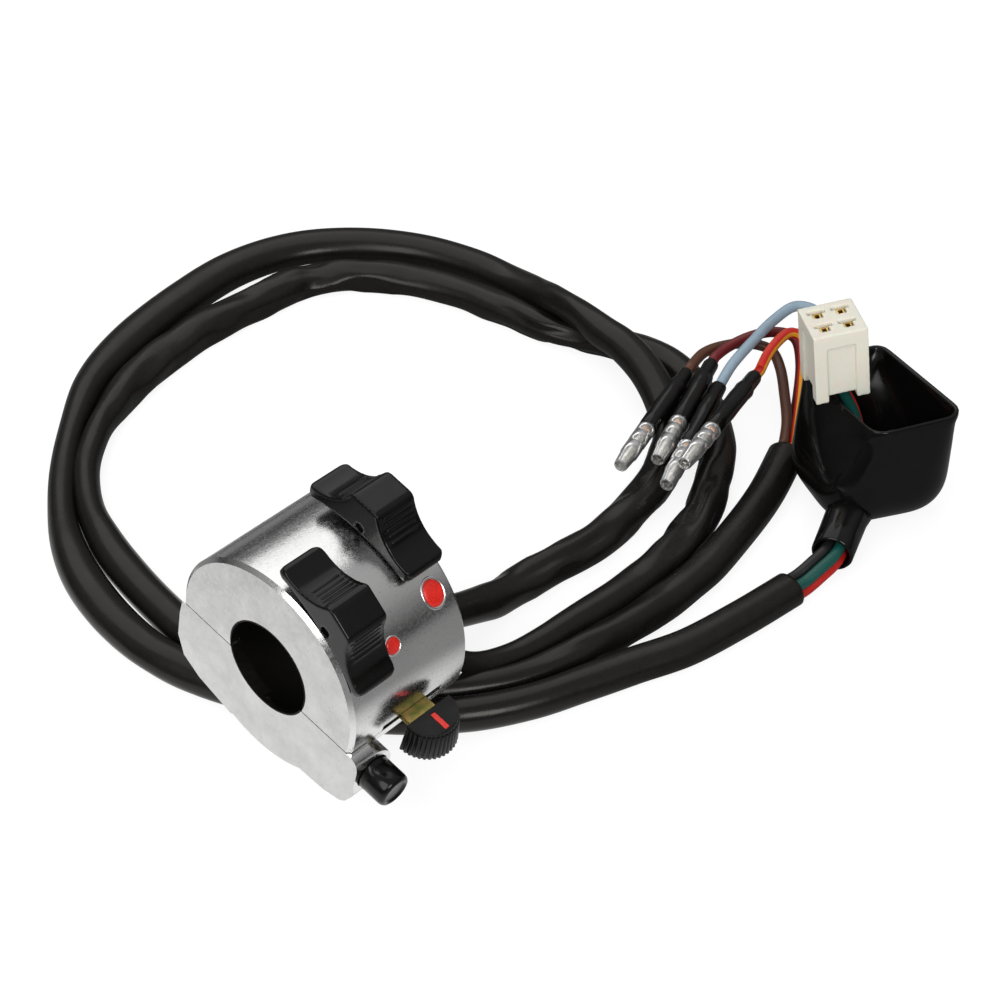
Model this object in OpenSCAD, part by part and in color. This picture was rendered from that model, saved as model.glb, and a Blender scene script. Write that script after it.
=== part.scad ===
// Handlebar switch cluster: split cast housing on a 7/8 inch bar, two rockers,
// a turn lever, a horn button and two sleeved looms with their end fittings.
// X runs along the bar, Z is up as the cluster lies on a table, origin at bar centre.

/* [Bar and housing] */
// Handlebar diameter that the bore clamps
bar_d = 22.2; // [21.8:0.1:22.6]
// Housing length along the bar
body_len = 34; // [32:0.5:42]
// Outer radius of the round housing
body_r = 25.5; // [25:0.25:28]
// Wall of the cast shells
wall = 2.4; // [2:0.1:3]
// End wall thickness that grips the bar
end_wall = 3; // [2.5:0.25:4]
// Chamfer on the rims of the upper shell
rim = 0.9; // [0.4:0.1:1.5]
// Split plane below bar centre
seam_drop = 3.4; // [2:0.2:4.5]
// Turn of the housing about the bar as it lies
clock = 14; // [0:1:20]

/* [Rockers] */
// Rocker width along the bar
rocker_w = 10.8; // [9.6:0.1:11]
// Rocker half length around the housing
rocker_half = 15.4; // [14:0.1:15.8]
// Rocker crown height above bar centre
crown_r = 34.2; // [33:0.1:36]
// Rocker tilt to each side of middle
rocker_tilt = 5; // [2:0.5:5.5]
// Angle of the near rocker from straight up
near_turn = 26.7; // [24:0.5:30]
// Angle of the far rocker from straight up
far_turn = -3; // [-8:0.5:2]
// Pivot pin diameter
pin_d = 2; // [1.6:0.1:2.2]

/* [Turn lever] */
// Lever plate width
lever_w = 7.6; // [6:0.2:8.4]
// Lever plate thickness
lever_t = 1.4; // [1:0.1:1.5]
// Lever swing to each side
lever_swing = 7; // [3:0.5:7]
// Radius of the ribbed lever knob
knob_r = 6.5; // [5.5:0.1:6.6]

/* [Horn button] */
// Horn button diameter
horn_d = 8.2; // [7.6:0.1:8.4]
// Horn button height proud of its boss
horn_proud = 7.2; // [5:0.2:9]
// Horn button travel
horn_travel = 2.2; // [1:0.1:2.4]

/* [Looms] */
// Sleeved loom diameter
loom_d = 7.2; // [6.6:0.1:7.3]
// Single wire diameter
wire_d = 2.8; // [2.4:0.1:2.85]

/* [Hidden] */

$fn = 64;
slip = 0.15;
gap = 0.3;
big = 80;
bar_r = bar_d / 2;
in_r = body_r - wall;
half = body_len / 2;
in_half = half - end_wall;
seam_z = -seam_drop;
seam_gap = 0.25;
back_swell = 1.035;

// rockers
pivot_r = body_r + 2;
cheek = 2;
near_x = -half + 0.5 + rocker_w / 2;
far_x = half - 0.3 - rocker_w / 2;
belly_gap = 0.6;
belly_r = 44;
grip_rise = 3.6;
grip_r = crown_r + grip_rise - body_r - 0.7;
crown_half = 3.9;
grip_y = crown_half + sqrt(grip_r * grip_r - grip_rise * grip_rise);
crest_round = 1.6;
crest_y = grip_y - sqrt(pow(grip_r + crest_round, 2) - pow(grip_rise + crest_round, 2));
crest_turn = atan2(grip_rise + crest_round, grip_y - crest_y);
lobe_round = 1.5;
lobe_y = rocker_half - lobe_round;
lobe_drop = sqrt(pow(grip_r + lobe_round, 2) - pow(grip_y - lobe_y, 2)) - grip_rise;
lobe_turn = atan2(lobe_drop + grip_rise, grip_y - lobe_y);
plan_round = 1.8;
rib_start = acos(grip_rise / grip_r) - 35;
rib_step = 7;
ear_t = 1.5;
ear_gap = 0.3;
ear_out = rocker_w / 2 - cheek - ear_gap;
ear_half = 2.2;

// painted dots beside the rockers
dot_r = 1.8;
far_dot_r = 2.5;
near_dot = [near_x + 8.6, near_turn + 23.8];
far_dot = [far_x + 0.5, far_turn + 43.6];

// lever
lever_x = 1.4;
knob_x = lever_x + 1;
lever_z = seam_z + 0.3;
lever_axis_y = -(body_r - 8.5);
slot_x = 1.3;
slot_room = 3.85;
slot_len = lever_w + 2 * ((body_r + lever_axis_y) * tan(lever_swing) + slot_room);
slot_h = lever_t + 0.5;
knob_y = -(body_r + 3.7);
knob_top = lever_z + lever_t + 1.1;
knob_h = 7.4;
flare = 0.8;
rib_n = 21;

// horn
horn_x = -half + 5.2;
horn_flat = 3.9;
horn_z = -10.4;
horn_face = body_r + 2.8;
horn_r = horn_d / 2;
boss_r = horn_r + 1.3;
contact_tip = horn_face - 7 - horn_travel;

// screws
screw_r = 2;
post_r = 3.6;
post_h = 12;
rear_y = body_r - 5.1;
front_y = -(body_r - 6.5);
front_x = half - 6.8;
seat_rear = -15;
seat_front = -11.5;
screw_rear = 18.5;
screw_front = 15;

// lying height of looms and floor under them
floor_z = -(body_r + gap + loom_d);
lay_z = floor_z + loom_d / 2;
// looms are flattened a little where they lie
rest_z = floor_z + loom_d / 10;
exit_1 = [4.8, -17.2];
exit_2 = [-7, -16.4];
grommet_r = loom_d / 2 + slip;

// loom routes, height given above the lying height
route_1 = [[11, 4.8, exit_1[1] - lay_z], [20, 4.8, exit_1[1] - lay_z], [30, 4, 10], [40, 2.5, 6], [50, 2, 2],
           [60, 2, 0], [72, 1, 0], [86, -1, 0], [100, 0, 0], [114, 3, 0], [125, 8, 0], [133, 14, 1],
           [139, 22, 3], [143, 31, 5.5], [145, 40, 7.4], [146, 48, 7.6], [148, 58, 7.6],
           [150, 67, 6], [153, 78, 2.5], [155, 90, 0], [154, 103, 0], [149, 119, 0], [139, 134, 0],
           [125, 145, 0], [107, 150, 0], [87, 149, 0], [66, 145, 0], [47, 138, 0], [31, 127, 0],
           [16, 113, 0], [4, 98, 0], [-4, 83, 0], [-9, 67, 0], [-11, 52, 0], [-10, 38, 0],
           [-6, 24, 0], [1, 8, 0], [11, -7, 0], [23, -19, 0], [36, -27, 0], [49, -32, 0],
           [60, -36, 0], [73, -41, 0], [89, -44, 0], [105, -46, 0]];
route_2 = [[11, -7, exit_2[1] - lay_z], [19.5, -7, exit_2[1] - lay_z], [26.5, -8.4, 6.8],
           [34, -11.4, 1.8], [43, -14, 0], [53, -16, 0], [64, -17, 0], [76, -18, 0], [88, -18, 0], [101, -16, 0],
           [113, -13, 0], [124, -7, 0], [134, -1, 0], [143, 8, 0], [150, 18, 0], [154, 28, 0],
           [155, 38, 0], [152, 48, 0], [148, 58, 0], [145, 68, 0], [144, 80, 0], [142, 94, 0],
           [137, 108, 0], [128, 121, 0], [115, 130, 0], [97, 131, 0], [78, 132, 0], [60, 129, 0],
           [42, 122, 0], [26, 111, 0], [15, 98, 0], [8, 84, 0], [3, 70, 0], [0, 56, 0], [-1, 45, 0],
           [1, 34, 0], [5, 20, 0], [12, 7, 0], [20, -5, 0], [30, -14, 0], [43, -21, 0],
           [60, -25, 0], [77, -27, 0], [95, -27, 0], [113, -24, 0], [129, -20, 0], [145, -14, 0]];

// bullet terminals: wire end and a point on the axis towards the tip, real heights
term_a = [[145.4, 19.2, -20.6], [152.5, 16.8, -20.3], [146.3, 9.2, -20.5], [151.9, 2.3, -16.8]];
term_b = [[107, 8, -22], [115, 2.9, -22], [109, -5, -22], [113, -7, -16.8]];
crimp_len = 25;
crimp_d = 4.8;
bullet_d = 3.4;
sleeve_d = 4.7;

// wires from the end of the second loom round to the four terminals
tail_2 = [145, -14, lay_z];
tail_dir = unit([16, 6, 0]);
tail_side = [-tail_dir[1], tail_dir[0], 0];
lead = 3;
wire_1 = [[154, -7.2, -27.2], [161, -1, -26], [168, 6, -24.5], [171.5, 12, -23.5], [169, 17.5, -22.8],
          [163, 20.8, -22], [156, 22, -21.2]];
wire_2 = [[155, -8.2, -30.2], [164, -3, -28.5], [172, 2.5, -23.5], [175.5, 7.5, -19.6], [172.5, 12.6, -18.6],
          [167, 16, -19], [161, 18, -20]];
wire_3 = [[156, -12.3, -30], [166, -8.4, -26], [175, -3.5, -18.5], [179, 2, -12], [176, 8, -10],
          [169, 10, -11.8], [161, 10.8, -15.2], [154.5, 11.3, -18.5]];
wire_4 = [[153.5, -11, -26], [160, -6.8, -22], [166, -2.4, -17], [169.5, 1.2, -13.6], [167, 3.9, -12],
          [160, 3.9, -13.6]];

// boot on the end of the first loom and wires through its neck
tail_1 = [105, -46, lay_z];
neck_a = [119.5, -47.2, -26.9];
neck_b = [136, -40.5, -25.9];
neck_r = 5.2;
neck_in = 4.15;
boot_rim = -3;
boot_corners = [[150.3, -17.4], [164.6, -25], [157, -50.2], [142.6, -43]];
boot_lobes = [[145.6, -28.1], [151.7, -44.1], [140.8, -37.7]];
lobe_r = 11;
corner_r = 3.4;
skin = 1.5;
conn_at = [146.3, -25.3, -0.7];
conn_w = 13.4;
conn_h = 18;
conn_turn = -36;
conn_lean = 7;
conn_axis = [-0.68 * sin(conn_lean), 0.73 * sin(conn_lean), cos(conn_lean)];
pitch = 5.8;
wire_fan = wire_d / 2 + 0.05;
wire_via = [[109, -46.5, lay_z], [113.5, -47.2, -28], [119.5, -47.2, -26.9], [127, -44.2, -26.4],
            [135, -40.8, -25.4], [142, -36.7, -22], [147.3, -32, -16], [148.8, -28.6, -11],
            [147.6, -26.6, -6.5]];

module clocked() { rotate([clock, 0, 0]) children(); }

module across(w) { rotate([90, 0, 90]) linear_extrude(w, center = true) children(); }

module along_bar(r, len) { rotate([0, 90, 0]) cylinder(r = r, h = len, center = true); }

module below(z) { translate([-big, -big, z - 2 * big]) cube(2 * big); }

module above(z) { translate([-big, -big, z]) cube(2 * big); }

// point on a smooth curve through the route
function bend(a, b, c, d, t) =
    0.5 * (2 * b + (c - a) * t + (2 * a - 5 * b + 4 * c - d) * t * t + (3 * b - a - 3 * c + d) * t * t * t);

function smooth(p, n) = [
    for (i = [0 : len(p) - 2]) for (k = [0 : n - 1])
        bend(p[max(i - 1, 0)], p[i], p[i + 1], p[min(i + 2, len(p) - 1)], k / n),
    p[len(p) - 1]];

function unit(v) = v / norm(v);

function heading(p, i) = unit(p[min(i + 1, len(p) - 1)] - p[max(i - 1, 0)]);

// side directions carried along a route without twist
function carry(p, i, a) = i == len(p) ? [] :
    let (t = heading(p, i), b = unit(a - t * (a * t))) concat([[b, cross(t, b)]], carry(p, i + 1, b));

// route shifted sideways by u and w
function beside(p, u, w, ref) =
    let (f = carry(p, 0, ref)) [for (i = [0 : len(p) - 1]) p[i] + u * f[i][0] + w * f[i][1]];

// round tube swept along points, no lower than low
module tube(p, d, s, ref, low) {
    n = len(p);
    f = carry(p, 0, ref);
    pts = [for (i = [0 : n - 1]) for (k = [0 : s - 1])
        let (q = p[i] + d / 2 * (cos(360 * (k + 0.5) / s) * f[i][0] + sin(360 * (k + 0.5) / s) * f[i][1]))
        [q[0], q[1], max(q[2], low)]];
    sides = [for (i = [0 : n - 2]) for (k = [0 : s - 1])
        [i * s + (k + 1) % s, i * s + k, (i + 1) * s + k, (i + 1) * s + (k + 1) % s]];
    first = [for (k = [0 : s - 1]) k];
    last = [for (k = [0 : s - 1]) n * s - 1 - k];
    polyhedron(pts, concat(sides, [first, last]));
}

function lift(p) = [for (q = p) [q[0], q[1], q[2] + lay_z]];

// upper shell
module rim_drum() {
    along_bar(body_r, body_len - 2 * rim);
    for (s = [-1, 1]) translate([s * (half - rim / 2), 0, 0]) rotate([0, s * 90, 0])
        cylinder(r1 = body_r, r2 = body_r - rim, h = rim, center = true);
}

// round in front, slightly deeper behind the bar
module rim_body() {
    intersection() {
        rim_drum();
        translate([-big, -2 * big, -big]) cube(2 * big);
    }
    intersection() {
        scale([1, back_swell, 1]) rim_drum();
        translate([-big, 0, -big]) cube(2 * big);
    }
}

module bar_slot() {
    along_bar(bar_r, body_len + 2);
    translate([-half - 1, -bar_r, seam_z - 1]) cube([body_len + 2, bar_d, 1 - seam_z]);
}

module at_near() { translate([near_x, 0, 0]) rotate([near_turn, 0, 0]) children(); }

module at_far() { translate([far_x, 0, 0]) rotate([far_turn, 0, 0]) children(); }

module rocker_window() {
    translate([-ear_out - gap, -ear_half - gap, body_r - 6]) cube([2 * (ear_out + gap), 2 * (ear_half + gap), 10]);
}

module dot_seat(d) { translate([d[0], 0, 0]) rotate([d[1], 0, 0]) children(); }

module upper_shell() color("silver") clocked() {
    difference() {
        rim_body();
        difference() {
            along_bar(in_r, 2 * in_half);
            translate([front_x, front_y, seam_z]) cylinder(r = post_r, h = post_h);
            translate([0, rear_y, seam_z]) cylinder(r = post_r, h = post_h);
        }
        below(seam_z);
        bar_slot();
        at_near() rocker_window();
        at_far() rocker_window();
        translate([slot_x - slot_len / 2, -body_r - 1, seam_z - 1]) cube([slot_len, 6, slot_h + 1]);
        translate([front_x, front_y, seam_z - 1]) cylinder(r = screw_r + 0.05, h = post_h - 1);
        translate([0, rear_y, seam_z - 1]) cylinder(r = screw_r + 0.05, h = post_h - 1);
        dot_seat(near_dot) translate([0, 0, body_r - 0.7]) cylinder(r = dot_r + 0.05, h = 2);
        dot_seat(far_dot) translate([0, 0, body_r - 0.8]) scale([1, 1.2, 1]) cylinder(r = far_dot_r + 0.05, h = 2);
    }
}

// lower shell with the horn boss on its near front corner and a squared back corner
module lower_section() {
    circle(r = body_r);
    polygon([[20, seam_z], [body_r + 0.8, seam_z], [body_r + 1.1, -8], [body_r + 0.8, -15.2],
             [23.8, -20.2], [18.5, -22.8], [8, -24.9], [0, -20]]);
}

// horn boss seen along the bar, and its outline seen from the front
module boss_side() polygon([[0, seam_z], [-body_r + 0.3, seam_z], [2.1 - horn_face, seam_z - 0.3],
    [1 - horn_face, seam_z - 0.9], [0.3 - horn_face, seam_z - 1.9], [-horn_face, seam_z - 3.2], [-horn_face, -15.5], [-26.8, -18.6], [-25.4, -19.8], [-20.5, -21.2], [-12, -21.8], [0, -20]]);

module boss_front() {
    translate([horn_x, horn_z]) circle(r = boss_r);
    translate([-half, -30]) square([horn_x + half, 30]);
    translate([-half, -30]) square([horn_x + half + boss_r, 30 + horn_z]);
}

module horn_boss() intersection() {
    translate([-half + 10, 0, 0]) across(20) boss_side();
    rotate([90, 0, 0]) linear_extrude(40) boss_front();
}

module lower_shell() color("silver") difference() {
    clocked() difference() {
        union() {
            across(body_len) lower_section();
            horn_boss();
        }
        difference() {
            along_bar(in_r, 2 * in_half);
            translate([front_x, front_y, seam_z - 20]) cylinder(r = post_r, h = 20);
            translate([0, rear_y, seam_z - 20]) cylinder(r = post_r, h = 20);
            translate([lever_x, lever_axis_y, seam_z - 20]) cylinder(r = 3, h = 20);
        }
        above(seam_z - seam_gap);
        along_bar(bar_r, body_len + 2);
        translate([horn_x, 0, horn_z]) rotate([90, 0, 0]) {
            cylinder(r = horn_r + slip, h = big);
            intersection() {
                translate([0, 0, 15]) cylinder(r = horn_r + 0.9, h = horn_face - 2.5 - 15);
                translate([-horn_flat - 0.2, -20, 0]) cube([40, 40, 40]);
            }
        }
        translate([front_x, front_y, -40]) cylinder(r = screw_r + slip, h = 40);
        translate([0, rear_y, -40]) cylinder(r = screw_r + slip, h = 40);
        translate([front_x, front_y, -40]) cylinder(r = 3.7, h = 40 + seat_front);
        translate([0, rear_y, -40]) cylinder(r = 3.7, h = 40 + seat_rear);
        translate([lever_x, lever_axis_y, seam_z - 8]) cylinder(r = 1.5, h = 9);
    }
    translate([half, exit_1[0], exit_1[1]]) along_bar(grommet_r + 0.95, 2 * end_wall + 2);
    translate([half, exit_2[0], exit_2[1]]) along_bar(grommet_r + 0.95, 2 * end_wall + 2);
}

// insulating tray between the bar and the switch chamber
module insulator() color("dimgray") clocked() difference() {
    union() {
        along_bar(bar_r + 1.7, 2 * in_half - 0.2);
        intersection() {
            along_bar(in_r - 0.1, 2 * in_half - 0.2);
            translate([-big, -big, 1]) cube([2 * big, 2 * big, 1.4]);
        }
    }
    along_bar(bar_r + 0.4, body_len);
    below(1);
    translate([front_x - post_r - 0.4, -big, -5]) cube([big, big + front_y + post_r + 0.4, 20]);
    translate([0, rear_y, -5]) cylinder(r = post_r + 0.4, h = 20);
}

// rocker cap drawn upright over the bar centre: round crest and ends, hollow grips between them
function arc(c, r, a, b, n, skip = 0) =
    [for (k = [skip : n - skip]) c + r * [cos(a + (b - a) * k / n), sin(a + (b - a) * k / n)]];

function rocker_side(top) = concat(
    arc([crest_y, top - crest_round], crest_round, 90, crest_turn, 6),
    arc([grip_y, top + grip_rise], grip_r, 180 + crest_turn, 180 + lobe_turn, 16, 1),
    arc([lobe_y, top - lobe_drop], lobe_round, lobe_turn, -90, 10),
    [[lobe_y, 18]]);

module rocker_outline(top) {
    side = rocker_side(top);
    difference() {
        polygon(concat(side, [for (k = [len(side) - 1 : -1 : 0]) [-side[k][0], side[k][1]]]));
        translate([0, body_r + belly_gap - belly_r]) circle(r = belly_r);
    }
}

// rocker seen from above, with round corners
module rocker_plan() {
    x = rocker_w / 2 - plan_round;
    y = rocker_half - plan_round;
    polygon(concat(arc([x, y], plan_round, 0, 90, 6), arc([-x, y], plan_round, 90, 180, 6),
                   arc([-x, -y], plan_round, 180, 270, 6), arc([x, -y], plan_round, 270, 360, 6)));
}

module rocker_cap(top) {
    translate([0, 0, pivot_r]) rotate([rocker_tilt, 0, 0]) translate([0, 0, -pivot_r]) difference() {
        union() {
            intersection() {
                across(rocker_w) rocker_outline(top);
                translate([0, 0, 18]) linear_extrude(crown_r) rocker_plan();
            }
            for (s = [-1, 1]) for (k = [0 : 4]) rocker_rib(s, rib_start + rib_step * k, top);
        }
        translate([-rocker_w / 2 + cheek, -4.5, 20]) cube([rocker_w - 2 * cheek, 9, pivot_r + 2.7 - 20]);
        translate([0, 0, pivot_r]) along_bar(pin_d / 2 + 0.1, 20);
    }
}

module rocker_rib(s, turn, top) {
    y = s * (grip_y - (grip_r + 0.12) * sin(turn));
    z = top + grip_rise - (grip_r + 0.12) * cos(turn);
    translate([0, y, z]) along_bar(0.42, rocker_w - 2.4, $fn = 16);
}

module rocker_near() color("black") clocked() at_near() rocker_cap(crown_r);

module rocker_far() color("black") clocked() at_far() rocker_cap(crown_r + 0.8);

// bracket under each rocker, its ears reach out through the housing window
module cradle(lo, hi) difference() {
    union() {
        translate([lo, -6.5, body_r - 7]) cube([hi - lo, 13, 3]);
        for (s = [-1, 1]) translate([s * (ear_out - ear_t / 2), 0, 0]) {
            translate([-ear_t / 2, -ear_half, body_r - 4.5]) cube([ear_t, 2 * ear_half, pivot_r - body_r + 4.5]);
            translate([0, 0, pivot_r]) along_bar(ear_half, ear_t);
        }
    }
    translate([0, 0, pivot_r]) along_bar(pin_d / 2, 20);
}

module cradle_near() color("gray") clocked() at_near() cradle(-in_half + 0.2 - near_x, 4);

module cradle_far() color("gray") clocked() at_far() cradle(-4, in_half - 0.2 - far_x);

module rocker_pin() { translate([0, 0, pivot_r]) along_bar(pin_d / 2, 2 * (ear_out + ear_gap + 1)); }

module rocker_pins() color("gainsboro") clocked() {
    at_near() rocker_pin();
    at_far() rocker_pin();
}

module paint_dots() color("red") clocked() {
    dot_seat(near_dot) translate([0, 0, body_r - 0.7]) cylinder(r = dot_r, h = 0.75);
    dot_seat(far_dot) translate([0, 0, body_r - 0.8]) scale([1, 1.2, 1]) cylinder(r = far_dot_r, h = 0.8);
}

// turn lever
module lever_plate() color("goldenrod") clocked() translate([lever_x, lever_axis_y, lever_z]) difference() {
    union() {
        cylinder(r = lever_w / 2 - 0.2, h = lever_t);
        translate([-lever_w / 2, knob_y - lever_axis_y - 3, 0]) cube([lever_w, lever_axis_y - knob_y + 3, lever_t]);
    }
    translate([0, 0, -1]) cylinder(r = 1.6, h = 4);
}

module lever_knob() color("black") clocked() translate([knob_x, knob_y, knob_top - knob_h]) difference() {
    union() {
        intersection() {
            cylinder(r1 = knob_r + flare - 0.3, r2 = knob_r - 0.3, h = knob_h);
            translate([-20, -40, -1]) cube([40, 40.4, 20]);
        }
        for (k = [0 : rib_n - 1]) rotate([0, 0, 180 + 180 * k / (rib_n - 1)])
            translate([knob_r + flare - 0.4, 0, 0]) rotate([0, -atan(flare / knob_h), 0])
                cylinder(r = 0.42, h = knob_h - 0.8, $fn = 14);
    }
    translate([lever_x - knob_x - lever_w / 2, -3, lever_z - knob_top + knob_h]) cube([lever_w, 10, lever_t]);
    translate([-0.65, -5.4, knob_h - 0.4]) cube([1.3, 4.6, 2]);
}

module lever_mark() color("red") clocked() translate([knob_x, knob_y, knob_top - 0.4])
    translate([-0.6, -5.35, 0]) cube([1.2, 4.5, 0.42]);

module lever_pivot() color("silver") clocked() translate([lever_x, lever_axis_y, seam_z]) {
    translate([0, 0, -8]) cylinder(r = 1.5, h = 8 + 0.3 + lever_t + 0.2);
    translate([0, 0, 0.3 + lever_t + 0.2]) cylinder(r = 2.8, h = 0.8);
}

// horn button slides in the boss, held by its inner flange
module horn_button() color("black") clocked() translate([horn_x, 0, horn_z]) rotate([90, 0, 0]) {
    translate([0, 0, horn_face - 3.4]) cylinder(r = horn_r, h = 3.4 + horn_proud - 1);
    translate([0, 0, horn_face + horn_proud - 1]) cylinder(r1 = horn_r, r2 = horn_r - 1, h = 1);
    intersection() {
        translate([0, 0, horn_face - 4]) cylinder(r = horn_r + 0.7, h = 1.4);
        translate([-horn_flat, -20, 0]) cube([40, 40, 40]);
    }
}

module horn_contact() color("gold") clocked() translate([horn_x, 0, horn_z]) rotate([90, 0, 0]) {
    translate([-2.5, -4.2, contact_tip - 1.9]) cube([5, 6.7, 0.6]);
    translate([0, 0, contact_tip - 1.6]) cylinder(r = 1.2, h = 1.6);
}

module screw(len) {
    translate([0, 0, -2.6]) difference() {
        cylinder(r = 3.4, h = 2.6);
        translate([-0.5, -3, -1]) cube([1, 6, 2]);
        translate([-3, -0.5, -1]) cube([6, 1, 2]);
    }
    translate([0, 0, -0.1]) cylinder(r = screw_r, h = len + 0.1);
}

module housing_screws() color("silver") clocked() {
    translate([front_x, front_y, seat_front]) screw(screw_front);
    translate([0, rear_y, seat_rear]) screw(screw_rear);
}

module grommet(at) translate([0, at[0], at[1]]) difference() {
    union() {
        translate([half - end_wall / 2, 0, 0]) along_bar(grommet_r + 0.9, end_wall);
        translate([half + 0.6, 0, 0]) along_bar(grommet_r + 1.7, 1.2);
    }
    translate([half, 0, 0]) along_bar(grommet_r, 20);
}

module loom_grommets() color("black") {
    grommet(exit_1);
    grommet(exit_2);
}

module loom_1() color("black") tube(lift(route_1), loom_d, 12, [0, 0, 1], rest_z);

module loom_2() color("black") tube(lift(route_2), loom_d, 12, [0, 0, 1], rest_z);

// wires of the second loom
function fan_2(k) = tail_2 + 0.05 * tail_dir + wire_fan * ((k % 2 * 2 - 1) * tail_side + [0, 0, k < 2 ? -1 : 1]);

module tail_wire(k, p, j) {
    e = term_a[j];
    back = unit(e - term_b[j]);
    bend_part = smooth(concat([fan_2(k) + lead * tail_dir], p, [e + lead * back]), 2);
    tube(concat([fan_2(k)], bend_part, [e]), wire_d, 8, [0, 0, 1], rest_z);
}

module wire_brown() color("saddlebrown") tail_wire(3, wire_1, 0);

module wire_maroon() color("darkred") tail_wire(1, wire_2, 1);

module wire_blue() color("lightblue") tail_wire(0, wire_3, 2);

module wire_striped() color("orangered") tail_wire(2, wire_4, 3);

// put children on the axis from a to b, starting at a
module aim(a, b) {
    d = b - a;
    translate(a) rotate([0, acos(d[2] / norm(d)), atan2(d[1], d[0])]) children();
}

module each_term() { for (k = [0 : 3]) aim(term_a[k], term_b[k]) children(); }

module crimp_sleeves() color("black") each_term() {
    cylinder(r = crimp_d / 2 - 0.4, h = 6);
    translate([0, 0, 5.9]) cylinder(r = crimp_d / 2, h = crimp_len - 5.9);
}

module bullet_pins() color("silver") each_term() translate([0, 0, crimp_len]) {
    cylinder(r = bullet_d / 2 - 0.3, h = 8);
    translate([0, 0, 7.9]) cylinder(r = bullet_d / 2 - 0.8, h = 1.2);
    translate([0, 0, 9]) cylinder(r = bullet_d / 2, h = 4);
    translate([0, 0, 13]) cylinder(r1 = bullet_d / 2, r2 = bullet_d / 2 - 0.9, h = 2);
}

module bullet_sleeves() color("white", 0.4) each_term() translate([0, 0, crimp_len]) difference() {
    union() {
        cylinder(r = sleeve_d / 2, h = 11);
        translate([0, 0, 11]) cylinder(r1 = sleeve_d / 2, r2 = sleeve_d / 2 - 0.35, h = 5);
    }
    translate([0, 0, -1]) cylinder(r = bullet_d / 2 + 0.25, h = 20);
}

// boot and its connector
module pouch(inset, top) hull() {
    for (q = boot_corners) translate([q[0], q[1], boot_rim - 1]) cylinder(r = corner_r - inset, h = 1 + top, $fn = 32);
    for (q = boot_lobes) translate([q[0], q[1], rest_z + 0.1 + lobe_r]) sphere(r = lobe_r - inset, $fn = 32);
}

module boot() color("black") difference() {
    union() {
        pouch(0, 0);
        aim(neck_a, neck_b) cylinder(r = neck_r, h = norm(neck_b - neck_a));
    }
    pouch(skin, 1);
    aim(neck_a, neck_b) translate([0, 0, -1]) cylinder(r = neck_in, h = norm(neck_b - neck_a) + 3);
    at_connector() translate([-conn_w / 2 - 0.5, -conn_w / 2 - 0.5, -2.4]) cube([conn_w + 1, conn_w + 1, 10]);
    at_connector() translate([-3.8, -3.8, -8]) cube([7.6, 7.6, 10]);
}

module boot_wire(u, w) {
    route = concat([tail_1 + [0.1, 0, 0]], smooth(concat(wire_via, [conn_at - 2.4 * conn_axis]), 2), [conn_at - 0.05 * conn_axis]);
    tube(beside(route, u * wire_fan, w * wire_fan, [0, 0, 1]), wire_d, 8, [0, 0, 1], rest_z);
}

module wire_green() color("darkgreen") boot_wire(1, 1);

module wire_black() color("black") boot_wire(1, -1);

module wire_red() color("red") boot_wire(-1, 1);

module wire_dark() color("maroon") boot_wire(-1, -1);

module at_connector() {
    translate(conn_at) rotate(a = -conn_lean, v = [0.73, 0.68, 0]) rotate([0, 0, conn_turn]) children();
}

module each_cavity() {
    for (x = [-1, 1]) for (y = [-1, 1]) translate([x * pitch / 2, y * pitch / 2, 0]) children();
}

module connector() color("ivory") at_connector() difference() {
    union() {
        translate([-conn_w / 2 + 0.8, -conn_w / 2 + 0.8, 0]) cube([conn_w - 1.6, conn_w - 1.6, conn_h - 0.6]);
        translate([-conn_w / 2, -conn_w / 2, conn_h - 4]) cube([conn_w, conn_w, 4]);
        for (x = [-1, 1]) for (y = [-1, 1])
            translate([x * (conn_w / 2 - 1.6) - 1.6, y * (conn_w / 2 - 1.6) - 1.6, -1.4]) cube([3.2, 3.2, conn_h]);
    }
    each_cavity() {
        translate([-2.2, 0.4, 8]) cube([4.4, 1.2, conn_h]);
        translate([-1.2, -1.5, 8]) cube([2.4, 2, conn_h]);
    }
}

module connector_terminals() color("gold") at_connector() each_cavity() {
    translate([-1.9, 0.8, 8]) cube([3.8, 0.5, conn_h - 8.8]);
    translate([-0.95, -1.1, 8]) cube([0.4, 2, conn_h - 8.8]);
    translate([0.55, -1.1, 8]) cube([0.4, 2, conn_h - 8.8]);
    translate([-0.95, -1.1, 8]) cube([1.9, 2, 0.5]);
}

upper_shell();
lower_shell();
insulator();
rocker_near();
rocker_far();
cradle_near();
cradle_far();
rocker_pins();
paint_dots();
lever_plate();
lever_knob();
lever_mark();
lever_pivot();
horn_button();
horn_contact();
housing_screws();
loom_grommets();
loom_1();
loom_2();
wire_brown();
wire_maroon();
wire_blue();
wire_striped();
crimp_sleeves();
bullet_pins();
bullet_sleeves();
wire_green();
wire_black();
wire_red();
wire_dark();
boot();
connector();
connector_terminals();
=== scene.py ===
"""Looks of the handlebar switch cluster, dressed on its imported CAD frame."""
import math

import bmesh
import bpy
from mathutils import Matrix, Vector, noise
from mathutils.bvhtree import BVHTree


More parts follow.
